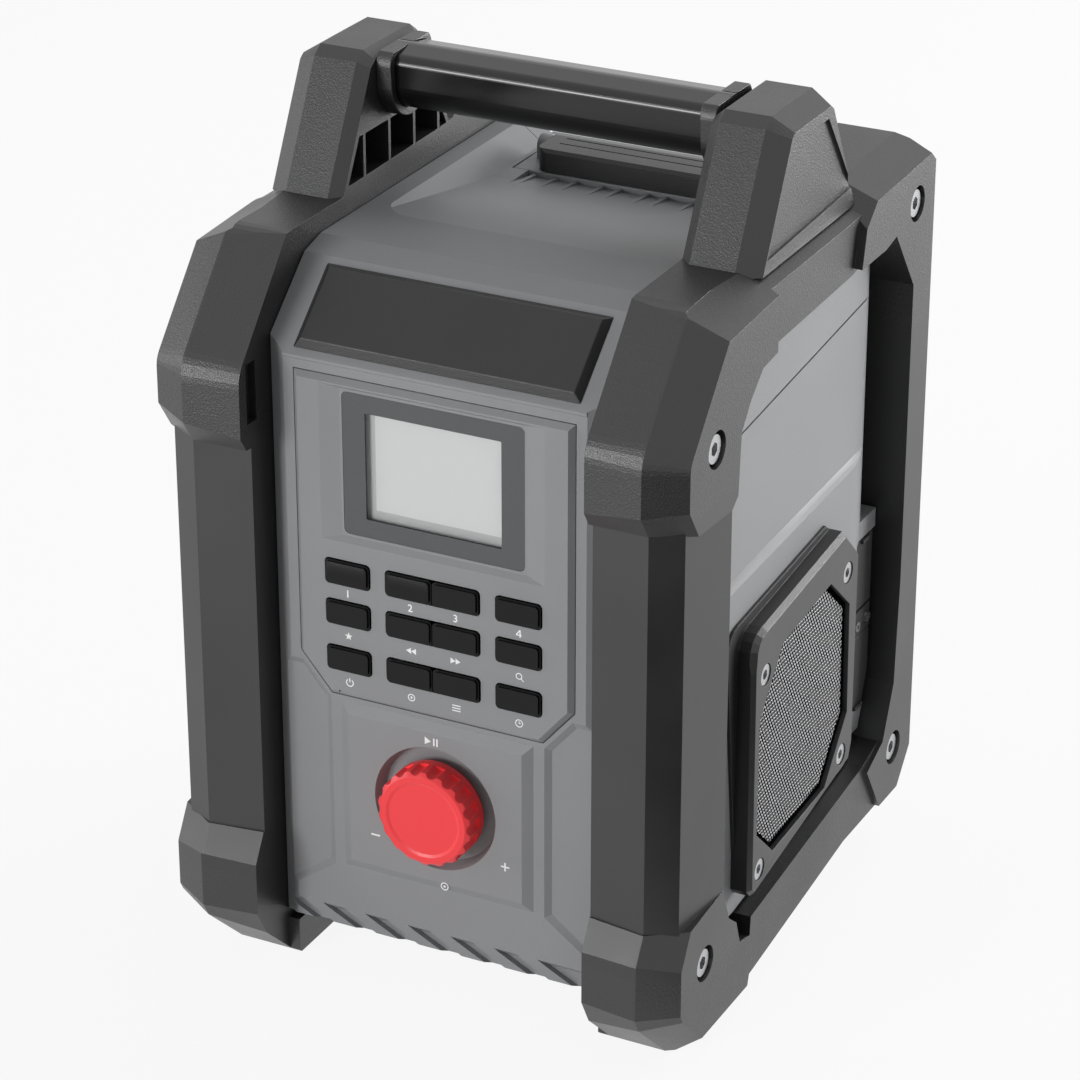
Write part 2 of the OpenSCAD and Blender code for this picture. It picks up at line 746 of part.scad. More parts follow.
// points given about the middle of the cone
function about_cone(pts) = [for (p = pts) [p[0] + cone_y, p[1] + cone_z]];

speaker_pts = about_cone(concat(fold([-41.4, -48], [-42.8, 48], [33, 55.6], 9, 4), [[33, 55.6],
  [46.2, 42.9], [46.2, -30.6], [43.6, -37.9], [-38.6, -50.9], [-41.4, -48]]));
skirt_pts = about_cone(concat(fold([-50.4, -49], [-50.4, 51.5], [30, 57.8], 8, 4), [[30, 57.8], [36, 52],
  [36, -36], [-40, -49]]));
grille_pts = about_cone([[20.9, 41.2], [38.2, 26.1], [39.5, -16.7], [20.8, -38.3], [-23.3, -40.5],
  [-37.4, -27.5], [-37.2, 16.1], [-19.2, 36.9]]);
speaker_screw_at = about_cone([[36, 38.9], [-33.2, 31.3], [35.5, -31.8], [-34.2, -42.2]]);
flap_y0 = rear(39);
flap_y1 = rear(22.6);
strip_screw_y = [flap_y0 + 3.6, flap_y1 - 3.6];
strip_z = 93.5;
socket_y = rear(31);
aux_z = 113;
power_z = 73;
speaker_x = side_x + speaker_out;

module speaker_frame() {
  difference() {
    union() {
      bevel_block(speaker_pts, side_x, speaker_x, speaker_x - 2, 45, [0 : len(speaker_pts) - 1]);
      along_x(side_x, side_x + 1.2) polygon(skirt_pts);
    }
    along_x(speaker_x - 3.4, far) polygon(grille_pts);
    along_x(0, far) offset(delta = -2.4) polygon(grille_pts);
    for (s = speaker_screw_at) {
      rod_x(speaker_x - 2.4, far, s[0], s[1], speaker_head_r + 0.3);
      rod_x(0, far, s[0], s[1], 1.5);
    }
  }
}

module speaker_frame_right() {
  color([0.12, 0.12, 0.13]) place() speaker_frame();
}

module speaker_frame_left() {
  color([0.12, 0.12, 0.13]) place() mirror([1, 0, 0]) speaker_frame();
}

module grille() {
  along_x(speaker_x - 3.4, speaker_x - 2.2) offset(delta = -0.3) polygon(grille_pts);
}

module grille_right() {
  color([0.16, 0.16, 0.17]) place() grille();
}

module grille_left() {
  color([0.16, 0.16, 0.17]) place() mirror([1, 0, 0]) grille();
}

// loudspeaker: flange, basket, magnet and a dished cone
module driver() {
  x1 = side_x - 3;
  difference() {
    union() {
      rod_x(x1 - 2.4, x1, cone_y, cone_z, 34);
      translate([x1 - 16, cone_y, cone_z]) rotate([0, 90, 0]) cylinder(h = 14, r1 = 19, r2 = 31);
      rod_x(x1 - 33, x1 - 15, cone_y, cone_z, 19);
    }
    translate([x1 - 12, cone_y, cone_z]) rotate([0, 90, 0]) cylinder(h = 12.5, r1 = 9, r2 = 28);
  }
  translate([x1 - 13, cone_y, cone_z]) sphere(r = 9.5);
}

module driver_right() {
  color([0.20, 0.20, 0.21]) place() driver();
}

module driver_left() {
  color([0.20, 0.20, 0.21]) place() mirror([1, 0, 0]) driver();
}

// ---- flaps and sockets ----

flap_axis_x = flap_x - 0.95;

module flap_upper() {
  color([0.09, 0.09, 0.10]) place() union() {
    along_x(flap_x - 1.9, flap_x) polygon([[flap_y0, 99.6], [flap_y1, 99.6], [flap_y1, 126.4],
      [flap_y0, 126.4]]);
    rod_y(flap_y0, flap_y1, flap_axis_x, 99.6, 0.95);
    rod_x(flap_x - 4.8, flap_x - 1.5, socket_y, aux_z, 2.6);
    box([flap_x - 1.9, socket_y - 2, 125], [flap_x + 1, socket_y + 4, 126.4]);
  }
}

module flap_lower() {
  color([0.09, 0.09, 0.10]) place() union() {
    along_x(flap_x - 1.9, flap_x) polygon([[flap_y0, 87.4], [flap_y0, 59.2], [flap_y1 - 4.6, 59.2],
      [flap_y1, 71.4],
      [flap_y1, 87.4]]);
    rod_y(flap_y0, flap_y1, flap_axis_x, 87.4, 0.95);
    rod_x(flap_x - 4.8, flap_x - 1.5, socket_y, power_z, 4);
    box([flap_x - 1.9, socket_y - 4, 59.2], [flap_x + 1, socket_y + 2, 60.6]);
  }
}

module flap_strip() {
  color([0.09, 0.09, 0.10]) place() difference() {
    box([flap_x - 2.2, flap_y0, strip_z - 4.8], [flap_x, flap_y1, strip_z + 4.8]);
    for (y = strip_screw_y) rod_x(0, far, y, strip_z, 1.1);
  }
}

module aux_socket() {
  color([0.55, 0.56, 0.57]) place() difference() {
    union() {
      rod_x(flap_x - 5.4, flap_x - 5.2, socket_y, aux_z, 4);
      box([flap_x - 17, socket_y - 5, aux_z - 5], [flap_x - 5.4, socket_y + 5, aux_z + 5]);
    }
    rod_x(flap_x - 15, far, socket_y, aux_z, 1.8);
  }
}

module power_socket() {
  color([0.12, 0.12, 0.12]) place() difference() {
    union() {
      rod_x(flap_x - 5.4, flap_x - 5.2, socket_y, power_z, 6);
      box([flap_x - 18, socket_y - 7, power_z - 7], [flap_x - 5.4, socket_y + 7, power_z + 7]);
    }
    difference() {
      rod_x(flap_x - 16, far, socket_y, power_z, 4.4);
      rod_x(flap_x - 17, flap_x - 6, socket_y, power_z, 1);
    }
  }
}

// ---- battery door ----

module battery_door() {
  color([0.30, 0.31, 0.32]) place() difference() {
    union() {
      box([-48, door_y, 44], [48, door_y + door_t, top(7)]);
      box([-43, latch_y, top(11)], [43, door_y + 1, top(7)]);
      // hinge barrels
      for (x = [-30, 30]) {
        rod_x(x - 8, x + 8, hinge_y, hinge_z, 3.4);
        box([x - 8, door_y + 0.6, hinge_z], [x + 8, door_y + door_t, 46]);
      }
      // ears for the latch bar
      for (s = [-1, 1]) {
        box([s * 37.5 - 2.2, latch_axis_y - 4, top(8)],
          [s * 37.5 + 2.2, latch_axis_y + 4, latch_axis_z]);
        rod_x(s * 37.5 - 2.2, s * 37.5 + 2.2, latch_axis_y, latch_axis_z, 4);
      }
      // stiffening ribs on the outside
      for (x = [-33 : 11 : 33]) box([x - 1.5, door_y + door_t - 1, 70],
        [x + 1.5, door_y + door_t + 1.4, top(35)]);
    }
    rod_x(-far, far, hinge_y, hinge_z, 1.5 + run);
    rod_x(-far, far, latch_axis_y, latch_axis_z, 1.2);
  }
}

module door_latch() {
  z0 = top(7 - gap);
  color([0.06, 0.06, 0.065]) place() difference() {
    union() {
      intersection() {
        along_x(-34.5, 34.5) polygon([[latch_y, z0], [latch_y, z0 + 7], [latch_y + 1, z0 + 8.2],
          [latch_axis_y, z0 + 8.2], [latch_axis_y, z0]]);
        along_z(z0 - 1, z0 + 9) translate([0, latch_y + 20]) round_rect(69, 40, 4.5);
      }
      rod_x(-34.5, 34.5, latch_axis_y, latch_axis_z, 4.1);
    }
    // two fine grip grooves along the top
    for (y = [latch_y + 7.7, latch_y + 13.2]) box([-29, y, z0 + 7.4], [29, y + 0.7, far]);
    rod_x(-far, far, latch_axis_y, latch_axis_z, 1.2 + run);
  }
}

module latch_pin() {
  color([0.72, 0.73, 0.74]) place() rod_x(-39.4, 39.4, latch_axis_y, latch_axis_z, 1.2);
}

module door_pin() {
  color([0.72, 0.73, 0.74]) place() rod_x(-46, 46, hinge_y, hinge_z, 1.5);
}

module battery_terminals() {
  color([0.80, 0.66, 0.30]) place() union() {
    box([-16, bay_y0, bay_z0 + bay_h - 30], [16, bay_y0 + 3, bay_z0 + bay_h - 6]);
    for (x = [-12, -4, 4, 12]) box([x - 0.5, bay_y0 + 2.5, bay_z0 + bay_h - 27],
      [x + 0.5, bay_y0 + 16, bay_z0 + bay_h - 9]);
  }
}

// ---- screws and feet ----

// socket head screw along X with its head outwards
module socket_screw(head_x, head_r, head_h, tip_x, shank_r) {
  difference() {
    rod_x(head_x - head_h, head_x, 0, 0, head_r);
    translate([head_x - head_h * 0.6, 0, 0]) rotate([0, 90, 0]) cylinder(h = head_h,
      r = head_r * 0.5, $fn = 6);
  }
  rod_x(tip_x, head_x - head_h, 0, 0, shank_r);
}

module frame_screws() {
  color([0.70, 0.71, 0.72]) place() both_sides() for (s = frame_screw_at)
    translate([0, s[0], s[1]]) socket_screw(half_w - 1, frame_head_r, 3.5, core_x - 9, screw_r);
}

module speaker_screws() {
  color([0.70, 0.71, 0.72]) place() both_sides() for (s = speaker_screw_at)
    translate([0, s[0], s[1]]) socket_screw(speaker_x - 0.4, speaker_head_r, 2, side_x - 2.6, 1.2);
}

module strip_screws() {
  color([0.70, 0.71, 0.72]) place() for (y = strip_screw_y)
    translate([0, y, strip_z]) socket_screw(flap_x + 1.2, 1.9, 1.2, flap_x - 4.6, 0.8);
}

module rear_feet() {
  color([0.07, 0.07, 0.07]) place() both_sides() union() {
    along_z(0, 20.4) translate([foot_x, foot_y]) round_rect(16, 26, 4);
    translate([foot_x, foot_y, 18]) cylinder(h = 7, r = 4);
  }
}

housing_front();
housing_rear();
control_panel();
name_plate();
screen_lens();
lcd_module();
control_board();
key_switches();
key_1();
key_2();
key_3();
key_4();
key_5();
key_6();
key_7();
key_8();
key_9();
key_10();
key_11();
key_12();
encoder();
encoder_rotor();
encoder_shaft();
knob();
frame_left();
frame_right();
handle_grip();
collars();
speaker_frame_left();
speaker_frame_right();
grille_left();
grille_right();
driver_left();
driver_right();
flap_upper();
flap_lower();
flap_strip();
aux_socket();
power_socket();
battery_door();
door_latch();
latch_pin();
door_pin();
battery_terminals();
frame_screws();
speaker_screws();
strip_screws();
rear_feet();
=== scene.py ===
"""Jobsite radio: finishes, printed marks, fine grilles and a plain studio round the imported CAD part."""

import logging
import math
from dataclasses import dataclass
from enum import Enum
from typing import Any, Iterable, Sequence

import bpy
import numpy as np
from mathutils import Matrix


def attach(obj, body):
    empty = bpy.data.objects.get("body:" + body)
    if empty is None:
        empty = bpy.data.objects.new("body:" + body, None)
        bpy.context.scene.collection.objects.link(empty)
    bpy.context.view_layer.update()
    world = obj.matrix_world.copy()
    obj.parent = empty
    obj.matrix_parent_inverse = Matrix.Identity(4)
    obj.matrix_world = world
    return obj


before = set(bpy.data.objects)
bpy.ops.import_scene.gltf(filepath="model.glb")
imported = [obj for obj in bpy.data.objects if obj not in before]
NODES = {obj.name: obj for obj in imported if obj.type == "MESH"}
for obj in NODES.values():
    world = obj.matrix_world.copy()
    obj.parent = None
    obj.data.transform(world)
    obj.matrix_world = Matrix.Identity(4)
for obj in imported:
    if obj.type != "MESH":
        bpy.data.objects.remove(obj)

LOG = logging.getLogger("jobsite_radio")
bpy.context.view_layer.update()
MM = 0.001
# Y is given in millimetres from the front bumpers, which lie this far in front of the frame's middle
HALF_DEPTH = 104.0
# range in which nearly all values of a noise lie
NOISE_MIDDLE = (0.3, 0.7)
PLASTIC_IOR = 1.52
ACRYLIC_IOR = 1.49
# points closer than this become one before an edge is rounded
WELD_MM = 0.12
# faces that turn by less than this many degrees count as one flat face
FLAT_ANGLE = 1.0
# edges that turn by less than this many degrees aren't rounded
EDGE_ANGLE = 24.0
WHITE = (1.0, 1.0, 1.0, 1.0)

Place = tuple[float, float, float]
Solid = tuple[np.ndarray, list[list[int]]]
Faces = np.ndarray | Sequence[Sequence[int]]
Socket = bpy.types.NodeSocket
Tree = bpy.types.NodeTree


class Side(Enum):
    """Which side of the radio a piece belongs to, as the sign of X."""

    LEFT = -1
    RIGHT = 1


class Icon(Enum):
    """Plain signs printed on the front."""

    BACK = "back"
    FORWARD = "forward"
    PLAY_PAUSE = "play_pause"
    POWER = "power"
    MINUS = "minus"
    PLUS = "plus"
    STAR = "star"
    RING = "ring"
    BARS = "bars"
    CLOCK = "clock"
    LENS = "lens"
    FOUR = "four"


# ---------------------------------------------------------------- colour and nodes


def linear(hex_code: str) -> tuple[float, float, float, float]:
    """Turns an sRGB hex code into linear RGBA.

    Args:
        hex_code: Six hex digits.

    Returns:
        Four linear values, alpha 1.
    """
    parts = [int(hex_code[i : i + 2], 16) / 255 for i in (0, 2, 4)]
    out = [p / 12.92 if p <= 0.04045 else ((p + 0.055) / 1.055) ** 2.4 for p in parts]
    return (out[0], out[1], out[2], 1.0)


def add_node(tree: Tree, kind: str, settings: dict[str, Any] | None = None, **inputs: Any) -> bpy.types.Node:
    """Adds one shader node with its settings and links.

    Args:
        tree: The node tree.
        kind: The node's Blender type.
        settings: Attributes of the node.
        **inputs: A value or a socket to link from, for each socket by its name with underscores for
            spaces, or by its number as i0 or i1.

    Returns:
        The new node.
    """
    node = tree.nodes.new(kind)
    for name, value in (settings or {}).items():
        setattr(node, name, value)
    for name, value in inputs.items():
        by_number = name[0] == "i" and name[1:].isdigit()
        socket = node.inputs[int(name[1:]) if by_number else name.replace("_", " ")]
        if isinstance(value, bpy.types.NodeSocket):
            tree.links.new(value, socket)
        else:
            socket.default_value = value
    return node


def map_range(tree: Tree, value: Socket, *ends: float) -> Socket:
    """Carries a value from one range over to another.

    Args:
        tree: The node tree.
        value: The value.
        *ends: Low and high end it comes from, low and high end it goes to.

    Returns:
        The new value.
    """
    node = add_node(
        tree, "ShaderNodeMapRange", Value=value, From_Min=ends[0], From_Max=ends[1], To_Min=ends[2],
        To_Max=ends[3],
    )
    return node.outputs[0]


def spread(tree: Tree, noise: bpy.types.Node, low: float, high: float) -> Socket:
    """Carries the middle of a noise over to a range.

    Args:
        tree: The node tree.
        noise: The noise node.
        low: Low end of the range.
        high: High end of the range.

    Returns:
        The new value.
    """
    return map_range(tree, noise.outputs["Fac"], *NOISE_MIDDLE, low, high)


def maths(tree: Tree, operation: str, first: Socket | float, second: Socket | float) -> Socket:
    """Works out one operation on two values or sockets.

    Args:
        tree: The node tree.
        operation: Name of the operation.
        first: First value or socket.
        second: Second value or socket.

    Returns:
        The result.
    """
    return add_node(tree, "ShaderNodeMath", {"operation": operation}, i0=first, i1=second).outputs[0]


def new_material(name: str) -> tuple[bpy.types.Material, Tree, Socket]:
    """Makes an empty node material with an output.

    Args:
        name: The material's name.

    Returns:
        The material, its tree and the output's surface socket.
    """
    material = bpy.data.materials.new(name)
    material.use_nodes = True
    tree = material.node_tree
    tree.nodes.clear()
    output = add_node(tree, "ShaderNodeOutputMaterial")
    return material, tree, output.inputs["Surface"]


def object_coords(tree: Tree) -> Socket:
    """Object coordinates in metres."""
    return add_node(tree, "ShaderNodeTexCoord").outputs["Object"]


@dataclass(frozen=True)
class MouldedPlastic:
    """Moulded plastic, and likewise board, pulp and powder coat: dull, with the fine grain of its mould.

    Tone and gloss drift a little over the surface, so that a broad face doesn't look painted.

    Attributes:
        name: Material name.
        colour: Base colour as sRGB hex.
        roughness: Mean roughness.
        grain_mm: Size of one grain of the texture in millimetres.
        grain_depth: Strength of the grain in the bump.
        mottle: How much the tone drifts over the surface, 0 to 1.
        specular: Specular level.
        smooth_band: Heights in millimetres between which the mould was left smooth, or None.
    """

    name: str
    colour: str
    roughness: float
    grain_mm: float
    grain_depth: float
    mottle: float
    specular: float = 0.5
    smooth_band: tuple[float, float] | None = None

    def build(self) -> bpy.types.Material:
        """Builds the node material.

        Returns:
            The material.
        """
        material, tree, surface = new_material(self.name)
        coords = object_coords(tree)
        # grain: rounded cells one grain apart, broken up by a finer noise
        per_metre = 1000 / self.grain_mm
        rounded = {"feature": "SMOOTH_F1"}
        cells = add_node(tree, "ShaderNodeTexVoronoi", rounded, Vector=coords, Scale=per_metre)
        fine = add_node(tree, "ShaderNodeTexNoise", Vector=coords, Scale=1.6 * per_metre, Detail=2.0)
        relief = maths(tree, "ADD", cells.outputs["Distance"], fine.outputs["Fac"])
        bump = add_node(
            tree, "ShaderNodeBump", Strength=self.grain_depth, Distance=self.grain_mm * 0.35 * MM,
            Height=relief,
        )
        if self.smooth_band:
            tree.links.new(self.grain_by_height(tree, coords), bump.inputs["Strength"])
        drift = add_node(tree, "ShaderNodeTexNoise", Vector=coords, Scale=22.0, Detail=4.0)
        tone = spread(tree, drift, 1.0 - self.mottle, 1.0 + self.mottle)
        scale = {"operation": "SCALE"}
        colour = add_node(tree, "ShaderNodeVectorMath", scale, i0=linear(self.colour)[:3], Scale=tone)
        shader = add_node(
            tree, "ShaderNodeBsdfPrincipled", Base_Color=colour.outputs["Vector"],
            Roughness=spread(tree, drift, self.roughness - 0.05, self.roughness + 0.05), IOR=PLASTIC_IOR,
            Normal=bump.outputs["Normal"],
        )
        shader.inputs["Specular IOR Level"].default_value = self.specular
        tree.links.new(shader.outputs[0], surface)
        return material

    def grain_by_height(self, tree: Tree, coords: Socket) -> Socket:
        """Grain strength that falls to a tenth between the two heights of the smooth band.

        Each edge of the band fades over a millimetre and a half, on the outside of the band.

        Args:
            tree: The node tree.
            coords: Object coordinates.

        Returns:
            The strength.
        """
        height = add_node(tree, "ShaderNodeSeparateXYZ", Vector=coords).outputs["Z"]
        low, high = self.smooth_band
        fade = 1.5
        below = map_range(tree, height, low * MM, (low - fade) * MM, 0.0, 1.0)
        above = map_range(tree, height, high * MM, (high + fade) * MM, 0.0, 1.0)
        outside = maths(tree, "MAXIMUM", below, above)
        return map_range(tree, outside, 0.0, 1.0, self.grain_depth * 0.1, self.grain_depth)


@dataclass(frozen=True)
class Steel:
    """Turned or plated steel: bright metal with faint tool marks and a soft spread of the highlight.

    Attributes:
        name: Material name.
        colour: Metal colour as sRGB hex.
        roughness: Mean roughness.
        mark_mm: Spacing of the tool marks in millimetres.
    """

    name: str
    colour: str
    roughness: float
    mark_mm: float

    def build(self) -> bpy.types.Material:
        """Builds the node material.

        Returns:
            The material.
        """
        material, tree, surface = new_material(self.name)
        coords = object_coords(tree)
        per_metre = 1000 / self.mark_mm
        marks = add_node(tree, "ShaderNodeTexNoise", Vector=coords, Scale=per_metre, Detail=3.0)
        height = marks.outputs["Fac"]
        bump = add_node(tree, "ShaderNodeBump", Strength=0.15, Distance=0.05 * MM, Height=height)
        shader = add_node(
            tree, "ShaderNodeBsdfPrincipled", Base_Color=linear(self.colour), Metallic=1.0,
            Roughness=spread(tree, marks, self.roughness - 0.06, self.roughness + 0.06),
            Normal=bump.outputs["Normal"],
        )
        tree.links.new(shader.outputs[0], surface)
        return material


@dataclass(frozen=True)
class Ink:
    """Pad-printed ink: a thin even film, slightly glossier than the plastic under it.

    Attributes:
        name: Material name.
        colour: Colour of the ink as sRGB hex.
    """

    name: str
    colour: str

    def build(self) -> bpy.types.Material:
        """Builds the node material.

        Returns:
            The material.
        """
        material, tree, surface = new_material(self.name)
        coords = object_coords(tree)
        wear = add_node(tree, "ShaderNodeTexNoise", Vector=coords, Scale=900.0, Detail=3.0)
        tone = spread(tree, wear, 0.94, 1.0)
        scale = {"operation": "SCALE"}
        colour = add_node(tree, "ShaderNodeVectorMath", scale, i0=linear(self.colour)[:3], Scale=tone)
        film = colour.outputs["Vector"]
        shader = add_node(tree, "ShaderNodeBsdfPrincipled", Base_Color=film, Roughness=0.42)
        tree.links.new(shader.outputs[0], surface)
        return material


@dataclass(frozen=True)
class TintedPane:
    """Clear acrylic window: glossy and thin, it darkens what lies behind it a little.

    Attributes:
        name: Material name.
        colour: Tint as sRGB hex.
        veil: How much of what lies behind it the tint covers, 0 to 1.
    """

    name: str
    colour: str
    veil: float

    def build(self) -> bpy.types.Material:
        """Builds the node material.

        Returns:
            The material.
        """
        material, tree, surface = new_material(self.name)
        coords = object_coords(tree)
        smear = add_node(tree, "ShaderNodeTexNoise", Vector=coords, Scale=60.0, Detail=2.0)
        shader = add_node(
            tree, "ShaderNodeBsdfPrincipled", Base_Color=linear(self.colour),
            Roughness=spread(tree, smear, 0.05, 0.1), IOR=ACRYLIC_IOR, Alpha=self.veil,
        )
        tree.links.new(shader.outputs[0], surface)
        return material


@dataclass(frozen=True)
class LiquidCrystal:
    """Unlit liquid-crystal glass: a pale field with a slightly darker strip at its left and lower edge.

    Attributes:
        name: Material name.
        ground: Colour of the strip as sRGB hex.
        field_tone: Colour of the active field as sRGB hex.
        field_left: X at which the field starts, in millimetres.
        field_low: Z at which the field starts, in millimetres.
    """

    name: str
    ground: str
    field_tone: str
    field_left: float = -22.4
    field_low: float = 179.2

    def build(self) -> bpy.types.Material:
        """Builds the node material.

        Returns:
            The material.
        """
        material, tree, surface = new_material(self.name)
        split = add_node(tree, "ShaderNodeSeparateXYZ", Vector=object_coords(tree))
        # the field fades in over three tenths of a millimetre
        fade = 0.3
        left, low = self.field_left, self.field_low
        across = map_range(tree, split.outputs["X"], left * MM, (left + fade) * MM, 0.0, 1.0)
        upward = map_range(tree, split.outputs["Z"], low * MM, (low + fade) * MM, 0.0, 1.0)
        inside = maths(tree, "MULTIPLY", across, upward)
        # sockets 6 and 7 are the two colours of the mix
        mix = add_node(
            tree, "ShaderNodeMix", {"data_type": "RGBA"}, Factor=inside, i6=linear(self.ground),
            i7=linear(self.field_tone),
        )
        shader = add_node(tree, "ShaderNodeBsdfPrincipled", Base_Color=mix.outputs[2], Roughness=0.35)
        tree.links.new(shader.outputs[0], surface)
        return material


# Plastics give roughness, grain in millimetres, depth of the grain, mottle and specular level, steels give
# roughness and spacing of the tool marks in millimetres.

# dull mid grey, its fine spark grain spreads every highlight
HOUSING_ABS = MouldedPlastic("abs housing, matt grey", "8f9092", 0.5, 0.45, 0.22, 0.03)
# the same grey, smoother, so that the flat panel has a faint sheen
PANEL_ABS = MouldedPlastic("abs panel, satin grey", "8f9092", 0.42, 0.35, 0.12, 0.02)
# charcoal with a coarse leather grain on the bumper caps, plain on the posts between them
FRAME_ABS = MouldedPlastic(
    "abs bumper, leather-grained charcoal", "1a1a1c", 0.38, 0.6, 0.36, 0.05, 0.68, smooth_band=(41.0, 203.0)
)
# nearly smooth black, on which the lamps show as long soft bands
BAR_ABS = MouldedPlastic("abs bar, satin black", "121213", 0.2, 0.5, 0.04, 0.03)
# sparked black that stays even from edge to edge
PLATE_ABS = MouldedPlastic("abs plate, sparked black", "1a1a1c", 0.42, 0.5, 0.3, 0.04)
# soft black with hardly any shine
KEY_ABS = MouldedPlastic("silicone key, soft black", "0b0b0c", 0.36, 0.4, 0.1, 0.03, 0.2)
# clear red with a light gloss on the edges of its flutes
KNOB_ABS = MouldedPlastic("abs knob, signal red", "ff3d43", 0.34, 0.5, 0.05, 0.03)
# black with a stronger sheen than the plate, so that its slopes stand apart
SPEAKER_ABS = MouldedPlastic("abs speaker ring, satin black", "1c1c1e", 0.4, 0.5, 0.2, 0.04, 0.62)
# fibrous black without any shine: the cone's own colour, and on the sheet under the mesh painted shade for
# the depth seen through the holes
PULP_AND_GRILLE_SHADE = MouldedPlastic("paper cone, black pulp", "0c0c0c", 0.9, 0.9, 0.6, 0.1, 0.0)
# dull, slightly paler black
RUBBER = MouldedPlastic("rubber flap, dull black", "222223", 0.7, 0.6, 0.35, 0.06)
# green lacquer over a coarse weave
BOARD = MouldedPlastic("fibreglass board, green", "1d5a34", 0.4, 1.2, 0.2, 0.08)
# pale grey rings: partly the mesh's own pale grey, partly a painted highlight set against the painted shade
# of the hole walls
MESH_METAL = MouldedPlastic("powder-coated mesh, pale grey", "dcdddf", 0.35, 0.25, 0.1, 0.03)
# painted shade: black on the walls of the small holes, where the same mesh lies in shade; also the real
# black of the mesh's border
HOLE_SHADE_AND_RIM_BLACK = MouldedPlastic("mesh hole wall, in shade", "080808", 0.9, 0.4, 0.1, 0.02, 0.0)
# bright, a little milky from its plating
SCREW_STEEL = Steel("zinc-plated steel screw", "b9babc", 0.3, 0.5)
# darker and sharper than the plated screws
PIN_STEEL = Steel("ground steel pin", "a8a9ab", 0.25, 0.3)
# warm yellow metal
BRASS = Steel("spring brass", "c9a34e", 0.3, 0.4)
# full white that reads clearly on the grey
WHITE_INK = Ink("white printing ink", "ffffff")
# black ink painted dark grey: the grey is a painted sheen over the black
MASK_INK = Ink("black printed border", "515254")
# clear, with a soft mirror image on its face
WINDOW = TintedPane("acrylic window", "3a3b3d", 0.06)
# pale grey, unlit
CRYSTAL = LiquidCrystal("liquid-crystal glass", "d2d4d4", "f3f5f5")


# ---------------------------------------------------------------- meshes


def mesh_object(name: str, points: np.ndarray, faces: Faces, body: str) -> bpy.types.Object:
    """Puts arrays of points and faces into a mesh object that rides on a body.

    Args:
        name: Object name.
        points: N by 3 array in millimetres, Y from the front bumpers.
        faces: Faces as rows of vertex numbers.
        body: Body it rides on.

    Returns:
        The object.
    """
    placed = np.asarray(points, float) - (0.0, HALF_DEPTH, 0.0)
    rows = faces.tolist() if isinstance(faces, np.ndarray) else faces
    mesh = bpy.data.meshes.new(name)
    mesh.from_pydata((placed * MM).tolist(), [], rows)
    mesh.update()
    piece = bpy.data.objects.new(name, mesh)
    bpy.context.collection.objects.link(piece)
    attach(piece, body)
    return piece


def prism(outline: np.ndarray, y_front: float, y_back: float) -> Solid:
    """Carries a front-view outline from one depth to another and closes both ends.

    Args:
        outline: N by 2 array of (X, Z), counter-clockwise seen from the front.
        y_front: Depth of the front face.
        y_back: Depth of the back face.

    Returns:
        Points and faces.
    """
    count = len(outline)
    front = np.column_stack([outline[:, 0], np.full(count, y_front), outline[:, 1]])
    back = np.column_stack([outline[:, 0], np.full(count, y_back), outline[:, 1]])
    ring = np.arange(count)
    after = np.roll(ring, -1)
    sides = np.column_stack([ring, ring + count, after + count, after]).tolist()
    faces = [ring.tolist(), (ring[::-1] + count).tolist(), *sides]
    return np.vstack([front, back]), faces


def join(parts: Iterable[Solid]) -> Solid:
    """Puts several point and face sets together into one.

    Args:
        parts: Pairs of points and faces.

    Returns:
        One pair.
    """
    points, faces, base = [], [], 0
    for part_points, part_faces in parts:
        points.append(part_points)
        faces.extend((np.array(face) + base).tolist() for face in part_faces)
        base += len(part_points)
    return np.vstack(points), faces


def circle(x: float, z: float, r: float, count: int, start: float = 0.0, end: float = 360.0) -> np.ndarray:
    """Points of an arc about (x, z), counter-clockwise, end included when it isn't a full turn."""
    angles = np.radians(np.linspace(start, end, count, endpoint=end - start < 360))
    return np.column_stack([x + r * np.cos(angles), z + r * np.sin(angles)])


def band(x: float, z: float, r: float, width: float, start: float, end: float) -> np.ndarray:
    """Outline of a curved stroke: the outer arc one way, then the inner arc back.

    Args:
        x: Centre X.
        z: Centre Z.
        r: Radius of the stroke's middle.
        width: Width of the stroke.
        start: Angle at which it starts, in degrees.
        end: Angle at which it ends.

    Returns:
        The outline.
    """
    count = 28
    outer = circle(x, z, r + width / 2, count, start, end)
    inner = circle(x, z, r - width / 2, count, start, end)[::-1]
    return np.vstack([outer, inner])


def box_outline(x0: float, x1: float, z0: float, z1: float) -> np.ndarray:
    """The four corners of a rectangle, counter-clockwise."""
    return np.array([[x0, z0], [x1, z0], [x1, z1], [x0, z1]], float)


def soften(node: bpy.types.Object, width_mm: float) -> None:
    """Rounds a CAD node's edges for real: a weld, a clean-up of flat faces, triangles and a bevel.

    The triangles keep the hole in a flat face open, which the bevel would fill in if the face were one
    polygon.

    Args:
        node: The CAD node.
        width_mm: Width of the rounding.
    """
    weld = node.modifiers.new("weld", "WELD")
    weld.merge_threshold = WELD_MM * MM
    plane = node.modifiers.new("planar", "DECIMATE")
    plane.decimate_type = "DISSOLVE"
    plane.angle_limit = math.radians(FLAT_ANGLE)
    cut = node.modifiers.new("triangles", "TRIANGULATE")
    cut.min_vertices = 5
    bevel = node.modifiers.new("round", "BEVEL")
    bevel.width = width_mm * MM
    bevel.segments = 3
    bevel.limit_method = "ANGLE"
    bevel.angle_limit = math.radians(EDGE_ANGLE)
    bevel.use_clamp_overlap = True
    bevel.miter_outer = "MITER_ARC"
    bevel.harden_normals = True


def dress(names: Iterable[str], material: bpy.types.Material) -> None:
    """Gives CAD nodes one material in every slot.

    Args:
        names: Node names.
        material: The material.
    """
    for name in names:
        node = NODES[name]
        node.data.materials.clear()
        node.data.materials.append(material)
        LOG.info("dressed %s in %s", name, material.name)


# ---------------------------------------------------------------- sub-assemblies


